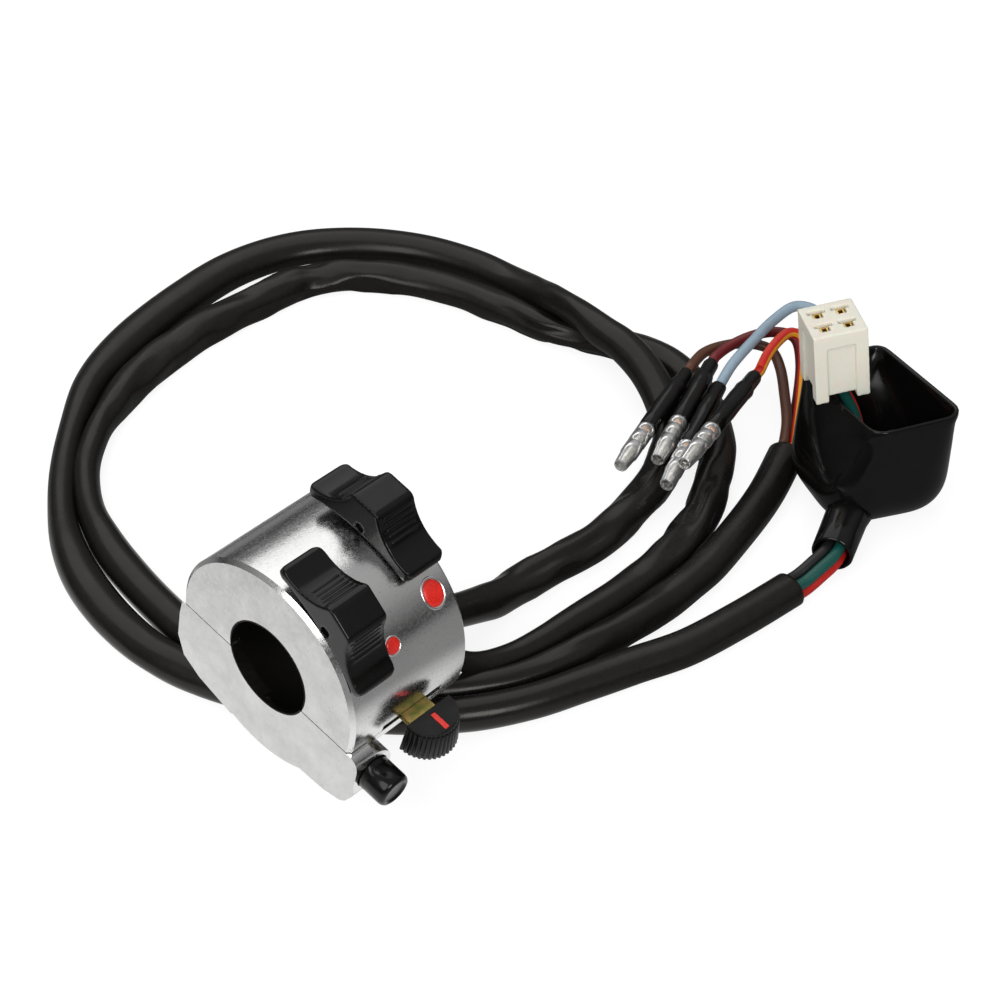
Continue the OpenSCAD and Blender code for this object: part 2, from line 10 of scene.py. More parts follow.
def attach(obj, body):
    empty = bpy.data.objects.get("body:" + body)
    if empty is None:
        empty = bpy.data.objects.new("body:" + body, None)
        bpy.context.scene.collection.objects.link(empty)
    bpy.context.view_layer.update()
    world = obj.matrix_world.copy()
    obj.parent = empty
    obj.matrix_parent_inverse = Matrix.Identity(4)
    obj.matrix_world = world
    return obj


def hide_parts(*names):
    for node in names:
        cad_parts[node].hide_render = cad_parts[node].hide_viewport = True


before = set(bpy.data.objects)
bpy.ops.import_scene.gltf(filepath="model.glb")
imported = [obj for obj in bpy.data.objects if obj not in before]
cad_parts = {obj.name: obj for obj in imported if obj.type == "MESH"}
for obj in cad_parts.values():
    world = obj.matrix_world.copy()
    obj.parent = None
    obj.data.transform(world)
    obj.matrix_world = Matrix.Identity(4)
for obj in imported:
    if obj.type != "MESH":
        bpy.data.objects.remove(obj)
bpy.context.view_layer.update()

MM = 0.001
UP = Vector((0, 0, 1))

# Camera fitted to the photograph
LENS_MM = 86.4
SENSOR_MM = 36.0
CAMERA_AT = Vector((-0.2519, -0.2843, 0.3444))
CAMERA_TURN = math.radians(47.131)
CAMERA_RISE = math.radians(39.286)

# Heights of the lying looms, as in the CAD, in millimetres
LAY_Z = -29.4
REST_Z = -32.28

# Radii of looms and wires, and how far the wires spread from the middle of a loom
LOOM_R = 3.6
WIRE_R = 1.4
WIRE_FAN = 1.45

# Loom routes in millimetres, heights above the lying height. The second one lies a little further out than
# in the CAD on its back arc, as the photograph shows it.
ROUTE_1 = [
    (11, 4.8, 12.2), (20, 4.8, 12.2), (30, 4, 10), (40, 2.5, 6), (50, 2, 2),
    (60, 2, 0), (72, 1, 0), (86, -1, 0), (100, 0, 0), (114, 3, 0), (125, 8, 0), (133, 14, 1),
    (139, 22, 3), (143, 31, 5.5), (145, 40, 7.4), (146, 48, 7.6), (148, 58, 7.6),
    (150, 67, 6), (153, 78, 2.5), (155, 90, 0), (154, 103, 0), (149, 119, 0), (139, 134, 0),
    (125, 145, 0), (107, 150, 0), (87, 149, 0), (66, 145, 0), (47, 138, 0), (31, 127, 0),
    (16, 113, 0), (4, 98, 0), (-4, 83, 0), (-9, 67, 0), (-11, 52, 0), (-10, 38, 0),
    (-6, 24, 0), (1, 8, 0), (11, -7, 0), (23, -19, 0), (36, -27, 0), (49, -32, 0),
    (60, -36, 0), (73, -41, 0), (89, -44, 0), (105, -46, 0)]
ROUTE_2 = [
    (11, -7, 13), (19.5, -7, 13), (26.5, -8.4, 6.8),
    (34, -11.4, 1.8), (43, -14, 0), (53, -16, 0), (64, -17, 0), (76, -18, 0), (88, -18, 0),
    (101, -16, 0), (113, -13, 0), (124, -7, 0), (134, -1, 0), (143, 8, 0), (150, 18, 0),
    (154, 28, 0), (155, 38, 0), (152, 48, 0), (148, 58, 0), (145, 68, 0), (144, 80, 0),
    (142, 94, 0), (137.5, 108, 0), (128.5, 122, 0), (115, 131.5, 0), (97, 133.5, 0), (78, 134.5, 0),
    (59, 131.5, 0), (40.5, 124.5, 0), (24, 113, 0), (13, 99, 0), (6.5, 84.5, 0), (2.5, 70, 0), (0, 56, 0),
    (-1, 45, 0), (1, 34, 0), (5, 20, 0), (12, 7, 0), (20, -5, 0), (30, -14, 0), (43, -21, 0),
    (60, -25, 0), (77, -27, 0), (95, -27, 0), (113, -24, 0), (129, -20, 0), (145, -14, 0)]

# Slack places of each sleeve: distance along it, half length, depth of the dents
SLACK_1 = [(70, 30, 0.8), (110, 16, 0.6), (185, 20, 0.35), (500, 40, 0.2)]
SLACK_2 = [(95, 18, 0.9), (120, 14, 0.6), (205, 24, 0.9), (280, 22, 1.0), (340, 40, 0.35), (560, 30, 0.4)]

# Places where a sleeve is fuller: distance along it, half length, extra half width
FULL_1 = [(300, 60, 1.0), (390, 60, 0.8)]
FULL_2 = [(340, 60, 0.7)]

# Half width and half height of a lying sleeve, its least half width and its gap to the strand beside it
LOOM_WIDE = 4.7
LOOM_HIGH = 4.1
LOOM_LEAST = 3.4
LOOM_GAP = 0.05

# Distance along a sleeve from which its own strand counts as another one beside it
OWN_STRAND = 60

# Where a sleeve starts to lie flat, the length that this takes, and how often its width is evened out
LYING_FROM = 18
LYING_OVER = 25
WIDTH_ROUNDS = 12

# Dents and sway along a sleeve: their pitch and share, and the fullest that they make it
DENT_TURN = 1.3
DENT_PITCH = 11.0
DENT_SHARE = 0.44
SWAY_PITCH = 40.0
SWAY_SHARE = 0.03
FULLEST = 1.06

# Rolled end of a sleeve: distance back from its end and share of its size
MOUTH_ROLL = [(-0.15, 0.97), (-0.1, 0.90), (0.4, 0.86)]
MOUTH_SHARE = 0.86

# Bullet terminals: wire end and a point towards the tip
TERM_A = [(145.4, 19.2, -20.6), (152.5, 16.8, -20.3), (146.3, 9.2, -20.5), (151.9, 2.3, -16.8)]
TERM_B = [(107, 8, -22), (115, 2.9, -22), (109, -5, -22), (113, -7, -16.8)]
CRIMP_LEN = 25

# Turned pieces at the terminals: distance along the axis and radius
CRIMP_PROFILE = [
    (-0.4, 1.5), (-0.2, 1.8), (0.5, 1.98), (4.4, 2.0), (5.4, 2.25), (6.4, 2.5), (8.5, 2.35), (10.5, 2.5),
    (13, 2.35), (17, 2.45), (21, 2.35), (CRIMP_LEN - 0.5, 2.4), (CRIMP_LEN - 0.1, 2.2)]
CLEAR_PROFILE = [
    (0.2, 2.0), (0.05, 2.3), (0.4, 2.35), (2.2, 2.35), (2.5, 2.15), (3.0, 2.15), (3.3, 2.35), (6.4, 2.35),
    (6.8, 2.1), (7.3, 2.1), (7.7, 2.3), (11.0, 2.3), (11.4, 2.1), (15.6, 1.78), (15.95, 1.66),
    (15.95, 1.5), (15.5, 1.45), (11.6, 1.8), (8.0, 1.96), (0.6, 1.96)]
COLLAR_PROFILE = [(0.05, 1.5), (0.2, 1.85), (1.5, 1.8), (1.9, 1.4)]

# Creases of the crimp sleeves: depth in metres, waves per metre and the seed that repeats them each run
CREASE_DEPTH = 0.00022
CREASE_WAVES = 420.0
CREASE_SEED = 5

# Wires of the second loom
TAIL_2 = (145, -14, LAY_Z)
TAIL_DIR = Vector((16, 6, 0)).normalized()
TAIL_LEAD = 3
TAIL_WIRES = {
    "wire_brown": (3, 0, [
        (154, -7.2, -27.2), (161, -1, -26), (168, 6, -24.5), (171.5, 12, -23.5), (169, 17.5, -22.8),
        (163, 20.8, -22), (156, 22, -21.2)]),
    "wire_maroon": (1, 1, [
        (155, -8.2, -30.2), (164, -3, -28.5), (172, 2.5, -23.5), (175.5, 7.5, -19.6), (172.5, 12.6, -18.6),
        (167, 16, -19), (161, 18, -20)]),
    "wire_blue": (0, 2, [
        (156, -12.3, -30), (166, -8.4, -26), (175, -3.5, -18.5), (179, 2, -12), (176, 8, -10),
        (169, 10, -11.8), (161, 10.8, -15.2), (154.5, 11.3, -18.5)]),
    "wire_striped": (2, 3, [
        (153.5, -11, -26), (160, -6.8, -22), (166, -2.4, -17), (169.5, 1.2, -13.6), (167, 3.9, -12),
        (160, 3.9, -13.6)])}

# Boot, its neck and the wires through it
TAIL_1 = (105, -46, LAY_Z)
NECK_A = Vector((119.5, -47.2, -26.9))
NECK_B = Vector((136, -40.5, -25.9))
BOOT_RIM = -3
BOOT_CORNERS = [(150.3, -17.4), (164.6, -25), (157, -50.2), (142.6, -43)]
BOOT_LOBES = [(145.6, -28.1), (151.7, -44.1), (140.8, -37.7)]
CORNER_R = 3.4
LOBE_R = 11
SKIN = 1.5
BOOT_FLOOR = REST_Z + 0.1
FOOT_LIFT = 0.2
ROW_SPREAD = 1.6
BOOT_SOFTENING = 14

# Dip of the rim where the connector leans in, and the rolled rim as distance inward and rise
DIP_DEPTH = 5.0
DIP_REACH = 4.0
RIM_ROLL = [(0.15, 0.3), (0.6, 0.45), (1.05, 0.3), (1.25, 0.0)]

# Connector and the way of the wires to it
CONN_AT = Vector((146.3, -25.3, -0.7))
CONN_LEAN = math.radians(7)
CONN_AXIS = Vector((-0.68 * math.sin(CONN_LEAN), 0.73 * math.sin(CONN_LEAN), math.cos(CONN_LEAN)))
WIRE_VIA = [
    (109, -46.5, LAY_Z), (113.5, -47.2, -28), (119.5, -47.2, -26.9), (127, -44.2, -26.4),
    (135, -40.8, -25.4), (142, -36.7, -22), (147.3, -32, -16), (148.8, -28.6, -11), (147.6, -26.6, -6.5)]
NECK_WIRES = {"wire_green": (1, 1), "wire_black": (1, -1), "wire_red": (-1, 1), "wire_dark": (-1, -1)}

# White level of the table in the picture, and how it fades away from a spot in reflections, in metres
TABLE_WHITE = 0.86
TABLE_SPOT = (-0.03, 0.02)
FADE_FROM = 0.06
FADE_TO = 0.11
FADED = 0.05

# Studio seen in reflections: height and level at the horizon and overhead, and strength of it all
HORIZON = (0.05, 0.06)
OVERHEAD = (0.70, 0.95)
ROOM_STRENGTH = 0.46

# Lamps: name, place, size and power, all aimed at the middle of the part
MIDDLE = (0.07, 0.04, -0.02)
LAMPS = [
    ("key", (-0.75, -0.15, 0.65), 0.75, 4.4),
    ("top", (0.25, 0.55, 0.95), 1.40, 4.6),
    ("fill", (-0.35, -0.80, 0.50), 0.45, 3.4)]

# Housing places used by the dressed pieces
BODY_R = 25.5
CHAMBER_R = 23.3
CHAMBER_X = 14.05
BORE_R = 11.5
CLOCK = math.radians(14)
HALF_LEN = 17
END_WALL = 3
EXITS = [(4.8, -17.2), (-7, -16.4)]
GROMMET_R = 3.75

# Paint dots: place along the bar, turn, radius and stretch, then rings as share of the radius and height
DOTS = [(-2.5, math.radians(64.5), 1.8, 1.0), (11.8, math.radians(54.6), 2.5, 1.2)]
FILL_RINGS = [(1.0, -0.5), (1.0, 0.05), (0.97, 0.16), (0.88, 0.27), (0.7, 0.34), (0.4, 0.38), (0.1, 0.39)]
LIP_RINGS = [(1.24, -0.02), (1.2, 0.08), (1.13, 0.13), (1.06, 0.1), (1.02, -0.02)]

# Rocker ribs: place along the bar, turn in degrees and crown radius of each rocker, then the ribs' form
RIBS = {"near_rocker": (-11.1, 26.7, 34.2), "far_rocker": (11.3, -3.0, 35.0)}
RIB_TURNS = [math.radians(36.9 + 7 * k) for k in range(5)]
RIB_HALF = 4.0
RIB_R = 0.42
RIB_ENDS = [(-1.0, 0.1), (-0.96, 0.7), (-0.88, 1.0), (0.88, 1.0), (0.96, 0.7), (1.0, 0.1)]
GRIP_Y = 14.93
GRIP_RISE = 3.6
GRIP_R = 11.6
RIB_SEAT = GRIP_R + 0.1
PIVOT_R = 27.5
ROCKER_TILT = math.radians(5)

# Horn button
HORN_AT = (-11.8, -10.4)
HORN_FACE = 28.3
HORN_R = 4.1
HORN_PROUD = 7.2

# Welding distance in metres, and the angles from which an edge is broken or creased in the render
WELD_AT = 0.000002
EDGE_ANGLE = math.radians(38)
CREASE_ANGLE = math.radians(32)


def make_camera():
    """Camera at the photograph's place, looking at its angle."""
    across = Vector((math.cos(CAMERA_TURN), -math.sin(CAMERA_TURN), 0))
    ahead = Vector((math.sin(CAMERA_TURN), math.cos(CAMERA_TURN), 0))
    back = UP * math.sin(CAMERA_RISE) - ahead * math.cos(CAMERA_RISE)
    data = bpy.data.cameras.new("camera")
    data.lens = LENS_MM
    data.sensor_width = SENSOR_MM
    data.clip_start = 0.01
    data.clip_end = 20
    camera = bpy.data.objects.new("camera", data)
    turn = Matrix((across, back.cross(across), back)).transposed()
    camera.matrix_world = Matrix.Translation(CAMERA_AT) @ turn.to_4x4()
    bpy.context.scene.collection.objects.link(camera)
    bpy.context.scene.camera = camera


make_camera()


class Shader:
    """A procedural material: constants go on the shader's own sockets, detail comes from nodes."""

    def __init__(self, name, **constants):
        self.material = bpy.data.materials.new(name)
        self.material.use_nodes = True
        self.tree = self.material.node_tree
        self.surface = self.tree.nodes["Principled BSDF"]
        for key, value in constants.items():
            self.surface.inputs[key.replace("_", " ")].default_value = value
        self.place = self.add("ShaderNodeTexCoord").outputs["Object"]

    def add(self, kind, inputs=None, **settings):
        node = self.tree.nodes.new(kind)
        for key, value in settings.items():
            setattr(node, key, value)
        for key, value in (inputs or {}).items():
            if isinstance(value, bpy.types.NodeSocket):
                self.tree.links.new(value, node.inputs[key])
            else:
                node.inputs[key].default_value = value
        return node

    def link(self, socket, name):
        self.tree.links.new(socket, self.surface.inputs[name])

    def stretched(self, scale):
        return self.add("ShaderNodeMapping", {"Vector": self.place, "Scale": scale}).outputs["Vector"]

    def noise(self, scale, detail=3.0, roughness=0.55, place=None):
        values = {"Vector": place or self.place, "Scale": scale, "Detail": detail, "Roughness": roughness}
        return self.add("ShaderNodeTexNoise", values).outputs["Fac"]

    def cells(self, scale, randomness=1.0):
        values = {"Vector": self.place, "Scale": scale, "Randomness": randomness}
        return self.add("ShaderNodeTexVoronoi", values).outputs["Distance"]

    def range(self, value, low, high, to_low, to_high):
        values = {0: value, 1: low, 2: high, 3: to_low, 4: to_high}
        return self.add("ShaderNodeMapRange", values).outputs[0]

    def maths(self, operation, first, second=0.5):
        return self.add("ShaderNodeMath", {0: first, 1: second}, operation=operation).outputs[0]

    def mix(self, share, first, second):
        node = self.add("ShaderNodeMix", data_type="RGBA")
        for index, value in ((0, share), (6, first), (7, second)):
            if isinstance(value, bpy.types.NodeSocket):
                self.tree.links.new(value, node.inputs[index])
            else:
                node.inputs[index].default_value = value
        return node.outputs[2]

    def bump(self, height, depth, strength=1.0, under=None):
        values = {"Height": height, "Distance": depth, "Strength": strength}
        if under is not None:
            values["Normal"] = under
        return self.add("ShaderNodeBump", values).outputs["Normal"]


def rgba(red, green, blue):
    """Solid colour."""
    return (red, green, blue, 1.0)


def cast_alloy():
    """Polished casting with fine specks and scratches, linished pale ends, and painted shade: a near-black
    colour inside the bore and chamber.
    """
    s = Shader("cast_alloy", Metallic=1.0)
    facing = s.tree.nodes.new("ShaderNodeNewGeometry").outputs["True Normal"]
    along = s.add("ShaderNodeSeparateXYZ", {0: facing}).outputs["X"]
    end = s.range(s.maths("ABSOLUTE", along), 0.8, 0.97, 0.0, 1.0)
    flat = s.stretched((0.0, 1.0, 1.0))
    out = s.add("ShaderNodeVectorMath", {0: flat}, operation="LENGTH").outputs["Value"]
    length = s.maths("ABSOLUTE", s.add("ShaderNodeSeparateXYZ", {0: s.place}).outputs["X"])
    near_bar = s.maths("LESS_THAN", out, CHAMBER_R * MM)
    between_ends = s.maths("LESS_THAN", length, CHAMBER_X * MM)
    chamber = s.maths("MULTIPLY", near_bar, between_ends)
    inside = s.maths("MAXIMUM", chamber, s.maths("LESS_THAN", out, BORE_R * MM))
    cloud = s.noise(55.0, 4.0)
    grain = s.noise(1500.0, 5.0, 0.7)
    lines = s.noise(170.0, 4.0, 0.6, s.stretched((0.5, 3.0, 3.0)))
    pits = s.range(s.cells(420.0), 0.03, 0.12, 1.0, 0.0)
    polished = s.mix(cloud, rgba(0.66, 0.66, 0.66), rgba(0.80, 0.80, 0.79))
    worn = s.range(s.noise(130.0, 5.0, 0.65), 0.35, 0.65, 0.0, 1.0)
    ground = s.mix(worn, rgba(0.60, 0.60, 0.59), rgba(0.70, 0.70, 0.69))
    tone = s.mix(end, polished, ground)
    tone = s.mix(s.maths("MULTIPLY", pits, 0.4), tone, rgba(0.28, 0.27, 0.26))
    # Painted shade: inside the bore and chamber the colour is near black in place of the shade that falls
    # there. The roughness below is also raised there.
    s.link(s.mix(inside, tone, rgba(0.035, 0.032, 0.030)), "Base Color")
    smooth = s.maths("ADD", s.range(lines, 0.3, 0.7, 0.11, 0.18), s.range(grain, 0.4, 0.75, 0.02, 0.20))
    rough = s.maths("ADD", smooth, s.maths("MULTIPLY", end, 0.26))
    s.link(s.maths("ADD", rough, s.maths("MULTIPLY", inside, 0.25)), "Roughness")
    fine = s.bump(grain, 0.00005, 0.4)
    s.link(s.bump(lines, 0.00003, 0.2, fine), "Normal")
    return s.material


def black_plastic(name, roughness, specular, grain_depth):
    """Moulded black plastic with faint dust and uneven gloss."""
    s = Shader(name, Specular_IOR_Level=specular)
    cloud = s.noise(220.0, 4.0)
    grain = s.noise(2600.0, 3.0)
    dust = s.range(s.cells(700.0), 0.02, 0.07, 1.0, 0.0)
    tone = s.mix(cloud, rgba(0.0025, 0.0023, 0.0022), rgba(0.006, 0.0056, 0.0054))
    s.link(s.mix(s.maths("MULTIPLY", dust, 0.03), tone, rgba(0.3, 0.3, 0.3)), "Base Color")
    s.link(s.range(cloud, 0.3, 0.7, roughness - 0.05, roughness + 0.07), "Roughness")
    s.link(s.bump(grain, grain_depth, 0.4), "Normal")
    return s.material


def sleeve_vinyl():
    """Soft black sleeve: satin, slightly uneven, with faint rub marks."""
    s = Shader("sleeve_vinyl", Specular_IOR_Level=0.28, Specular_Tint=rgba(1.0, 0.95, 0.90))
    cloud = s.noise(90.0, 4.0)
    rub = s.noise(500.0, 5.0, 0.7)
    s.link(s.mix(rub, rgba(0.004, 0.0036, 0.0034), rgba(0.012, 0.011, 0.010)), "Base Color")
    s.link(s.range(cloud, 0.3, 0.7, 0.22, 0.32), "Roughness")
    s.link(s.bump(s.noise(260.0, 3.0), 0.00012, 0.35, s.bump(rub, 0.00003, 0.3)), "Normal")
    return s.material


def wire_vinyl(name, colour, stripe=None):
    """Extruded wire insulation, with a lengthwise stripe where one is given."""
    s = Shader(name, Roughness=0.36, Specular_IOR_Level=0.4)
    cloud = s.noise(350.0, 4.0)
    dark = tuple(0.78 * c for c in colour)
    tone = s.mix(cloud, rgba(*dark), rgba(*colour))
    if stripe:
        around = s.add("ShaderNodeSeparateXYZ", {0: s.add("ShaderNodeTexCoord").outputs["UV"]}).outputs["X"]
        off = s.maths("ABSOLUTE", s.maths("SUBTRACT", around, 0.30))
        tone = s.mix(s.range(off, 0.055, 0.070, 1.0, 0.0), tone, rgba(*stripe))
    s.link(tone, "Base Color")
    s.link(s.bump(s.noise(900.0, 3.0), 0.00004, 0.3), "Normal")
    return s.material


def red_paint():
    """Glossy, slightly uneven red paint."""
    s = Shader("red_paint", Specular_IOR_Level=0.5)
    cloud = s.noise(500.0, 4.0)
    s.link(s.mix(cloud, rgba(0.62, 0.012, 0.008), rgba(0.82, 0.030, 0.018)), "Base Color")
    s.link(s.range(cloud, 0.3, 0.7, 0.22, 0.36), "Roughness")
    s.link(s.bump(cloud, 0.0001, 0.3), "Normal")
    return s.material


def metal(name, dark, light, roughness, scale=300.0):
    """Plated metal with a mottled tint and fine drawn lines."""
    s = Shader(name, Metallic=1.0)
    cloud = s.noise(scale, 4.0)
    lines = s.noise(400.0, 4.0, 0.6, s.stretched((0.4, 6.0, 6.0)))
    s.link(s.mix(s.range(cloud, 0.35, 0.65, 0.0, 1.0), rgba(*dark), rgba(*light)), "Base Color")
    s.link(s.range(lines, 0.3, 0.7, roughness - 0.06, roughness + 0.08), "Roughness")
    s.link(s.bump(lines, 0.00002, 0.3), "Normal")
    return s.material


def ivory_nylon():
    """Off-white connector plastic that lets a little light in."""
    s = Shader("ivory_nylon", Specular_IOR_Level=0.45, Subsurface_Weight=0.25, Subsurface_Scale=0.002)
    cloud = s.noise(160.0, 4.0)
    s.link(s.mix(cloud, rgba(0.80, 0.76, 0.64), rgba(0.87, 0.84, 0.74)), "Base Color")
    s.link(s.range(cloud, 0.3, 0.7, 0.34, 0.48), "Roughness")
    s.link(s.bump(s.noise(1500.0, 3.0), 0.00003, 0.4), "Normal")
    return s.material


def clear_vinyl():
    """Clear soft sleeve, slightly uneven."""
    s = Shader("clear_vinyl", Transmission_Weight=0.90, IOR=1.33, Specular_IOR_Level=0.5)
    cloud = s.noise(400.0, 3.0)
    s.link(s.mix(cloud, rgba(0.93, 0.93, 0.91), rgba(0.99, 0.99, 0.98)), "Base Color")
    s.link(s.range(cloud, 0.3, 0.7, 0.03, 0.12), "Roughness")
    s.link(s.bump(cloud, 0.00015, 0.4), "Normal")
    return s.material


GLOSS_BLACK = black_plastic("gloss_black", 0.14, 0.26, 0.00001)
KNOB_BLACK = black_plastic("knob_black", 0.30, 0.26, 0.00004)
BOARD_BLACK = black_plastic("board_black", 0.60, 0.25, 0.00008)
BOOT_BLACK = black_plastic("boot_black", 0.11, 0.28, 0.00001)
SLEEVE = sleeve_vinyl()
ALLOY = cast_alloy()
STEEL = metal("steel", (0.50, 0.50, 0.49), (0.66, 0.66, 0.65), 0.30)
BRASS = metal("brass", (0.52, 0.34, 0.10), (0.78, 0.58, 0.24), 0.26)
COPPER = metal("copper", (0.50, 0.20, 0.08), (0.74, 0.36, 0.16), 0.30)
BRIGHT = metal("bright_edge", (0.78, 0.78, 0.77), (0.90, 0.90, 0.89), 0.22)
TIN = metal("tin", (0.66, 0.63, 0.58), (0.84, 0.82, 0.78), 0.20)
ZINC = metal("zinc_yellow", (0.22, 0.25, 0.06), (0.56, 0.38, 0.13), 0.28, 450.0)
RED = red_paint()
IVORY = ivory_nylon()
CLEAR = clear_vinyl()
WIRE_LOOKS = {
    "wire_brown": wire_vinyl("wire_brown", (0.115, 0.042, 0.022)),
    "wire_maroon": wire_vinyl("wire_maroon", (0.17, 0.012, 0.014)),
    "wire_blue": wire_vinyl("wire_blue", (0.34, 0.46, 0.56)),
    "wire_striped": wire_vinyl("wire_striped", (0.70, 0.020, 0.010), (0.86, 0.36, 0.02)),
    "wire_green": wire_vinyl("wire_green", (0.008, 0.085, 0.070)),
    "wire_black": wire_vinyl("wire_black", (0.014, 0.014, 0.014)),
    "wire_red": wire_vinyl("wire_red", (0.55, 0.014, 0.010)),
    "wire_dark": wire_vinyl("wire_dark", (0.12, 0.012, 0.012))}


def smooth_route(points, step):
    """Points about step apart, on the smooth curve through the given points, in millimetres."""
    p = [Vector(q) for q in points]
    found = []
    for i in range(len(p) - 1):
        a, b, c, d = p[max(i - 1, 0)], p[i], p[i + 1], p[min(i + 2, len(p) - 1)]
        count = max(2, round((c - b).length / step))
        for k in range(count):
            t = k / count
            found.append(0.5 * (2 * b + (c - a) * t + (2 * a - 5 * b + 4 * c - d) * t * t
                                + (3 * b - a - 3 * c + d) * t ** 3))
    return found + [p[-1]]


def distances(path):
    """Distance along a path at each of its points."""
    along = [0.0]
    for a, b in zip(path, path[1:]):
        along.append(along[-1] + (b - a).length)
    return along


def carried(path):
    """Up and side directions taken along a path without twist."""
    frames = []
    up = UP.copy()
    for i in range(len(path)):
        ahead = (path[min(i + 1, len(path) - 1)] - path[max(i - 1, 0)]).normalized()
        up = (up - ahead * up.dot(ahead)).normalized()
        frames.append((up.copy(), ahead.cross(up)))
    return frames


def beside(path, rise, shift):
    """Path that runs beside another one."""
    return [p + rise * up + shift * side for p, (up, side) in zip(path, carried(path))]


def new_piece(name, vertices, faces, look, uvs=None):
    """Smooth mesh object from points in millimetres."""
    mesh = bpy.data.meshes.new(name)
    mesh.from_pydata([Vector(v) * MM for v in vertices], [], faces)
    if uvs:
        layer = mesh.uv_layers.new(name="UVMap")
        for loop in mesh.loops:
            layer.data[loop.index].uv = uvs[loop.vertex_index]
    mesh.polygons.foreach_set("use_smooth", [True] * len(mesh.polygons))
    mesh.materials.append(look)
    mesh.update()
    piece = bpy.data.objects.new(name, mesh)
    bpy.context.scene.collection.objects.link(piece)
    return piece


def grid_faces(rows, around, first=0):
    """Faces between rings of points that follow each other."""
    faces = []
    for i in range(rows - 1):
        for k in range(around):
            a, b = first + i * around + k, first + i * around + (k + 1) % around
            faces.append((a, b, b + around, a + around))
    return faces


def tube(name, path, reach, look, around=24, mouth=0.0):
    """Tube along a path; reach(i, angle) gives its half width and rise, and mouth opens its far end."""
    frames = carried(path)
    along = distances(path)
    vertices, uvs = [], []

    def ring(i, back=0.0, share=1.0):
        up, side = frames[i]
        for k in range(around):
            angle = 2 * math.pi * (k + 0.5) / around
            wide, high = reach(i, angle)
            point = path[i] + share * (wide * side + high * up) - back * up.cross(side)
            vertices.append(Vector((point.x, point.y, max(point.z, REST_Z))))
            uvs.append(((k + 0.5) / around, along[i] * MM * 20))

    for i in range(len(path)):
        ring(i)
    rows = len(path)
    if mouth:
        for back, share in MOUTH_ROLL + [(mouth, MOUTH_SHARE)]:
            ring(len(path) - 1, back, share)
            rows += 1
    faces = grid_faces(rows, around)
    faces.append(tuple(reversed(range(around))))
    faces.append(tuple(range((rows - 1) * around, rows * around)))
    return new_piece(name, vertices, [tuple(reversed(f)) for f in faces], look, uvs)


def lathe(name, start, end, profile, look, around=40, closed=True):
    """Turned piece on the axis from start to end; profile holds (distance, radius) in millimetres."""
    start, end = Vector(start), Vector(end)
    ahead = (end - start).normalized()
    side = ahead.cross(UP).normalized()
    rise = side.cross(ahead)
    vertices = []
    for distance, radius in profile:
        for k in range(around):
            angle = 2 * math.pi * k / around
            out = math.cos(angle) * side + math.sin(angle) * rise
            vertices.append(start + distance * ahead + radius * out)
    faces = grid_faces(len(profile), around)
    last = (len(profile) - 1) * around
    if closed:
        faces.append(tuple(reversed(range(around))))
        faces.append(tuple(range(last, last + around)))
    else:
        faces += [(last + k, last + (k + 1) % around, (k + 1) % around, k) for k in range(around)]
    return new_piece(name, vertices, faces, look)


def lifted(route):
    """Route with real heights."""
    return [(x, y, z + LAY_Z) for x, y, z in route]


def humps_at(distance, places):
    """Sum at a distance of soft humps, each with its place, half length and height."""
    return sum(depth * math.exp(-((distance - at) / half) ** 2) for at, half, depth in places)


def loom_room(path, along, other):
    """Half the distance from each point to the nearest strand beside it, of either loom."""
    beyond = smooth_route(lifted(other), 4.0)
    room = []
    for p, s in zip(path, along):
        own = [q for q, t in zip(path[::3], along[::3]) if abs(t - s) > OWN_STRAND]
        room.append(min((p - q).length for q in beyond + own) / 2)
    return room


def make_loom(name, route, other, places, full, seed):
    """Sleeve that lies flattened, fuller in places, with soft dents where it is slack."""
    path = smooth_route(lifted(route), 1.6)
    along = distances(path)
    fuller = [humps_at(s, full) for s in along]
    room = loom_room(path, along, other)
    halves = [
        max(LOOM_LEAST, min(LOOM_WIDE + extra, half - LOOM_GAP)) for extra, half in zip(fuller, room)]
    for _ in range(WIDTH_ROUNDS):
        ends = [halves[0]] + halves + [halves[-1]]
        halves = [(a + b + c) / 3 for a, b, c in zip(ends, ends[1:], ends[2:])]

    def reach(i, angle):
        lying = min(1.0, max(0.0, (along[i] - LYING_FROM) / LYING_OVER))
        wide = LOOM_R + (halves[i] - LOOM_R) * lying
        top = min(LOOM_HIGH + 0.5 * fuller[i], halves[i] + 0.1)
        high = LOOM_R + (top - LOOM_R) * lying
        dent_at = (DENT_TURN * math.cos(angle), DENT_TURN * math.sin(angle), along[i] / DENT_PITCH + seed)
        dent = humps_at(along[i], places) * noise.noise(Vector(dent_at))
        sway_at = (math.cos(angle), math.sin(angle), along[i] / SWAY_PITCH + 3 * seed)
        sway = noise.noise(Vector(sway_at))
        share = min(FULLEST, 1.0 + DENT_SHARE * dent + SWAY_SHARE * sway)
        return wide * math.cos(angle) * share, high * math.sin(angle) * share

    piece = tube(name + "_sleeve", path, reach, SLEEVE, 32, mouth=4.0)
    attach(piece, "housing")
    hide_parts(name)
    return piece, path


loom_1, path_1 = make_loom("loom_1", ROUTE_1, ROUTE_2, SLACK_1, FULL_1, 2.0)
loom_2, path_2 = make_loom("loom_2", ROUTE_2, ROUTE_1, SLACK_2, FULL_2, 7.0)


def make_wire(name, path):
    """Insulated wire along a path."""
    piece = tube(name + "_vinyl", path, lambda i, a: (WIRE_R * math.cos(a), WIRE_R * math.sin(a)),
                 WIRE_LOOKS[name], 14)
    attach(piece, "housing")
    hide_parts(name)


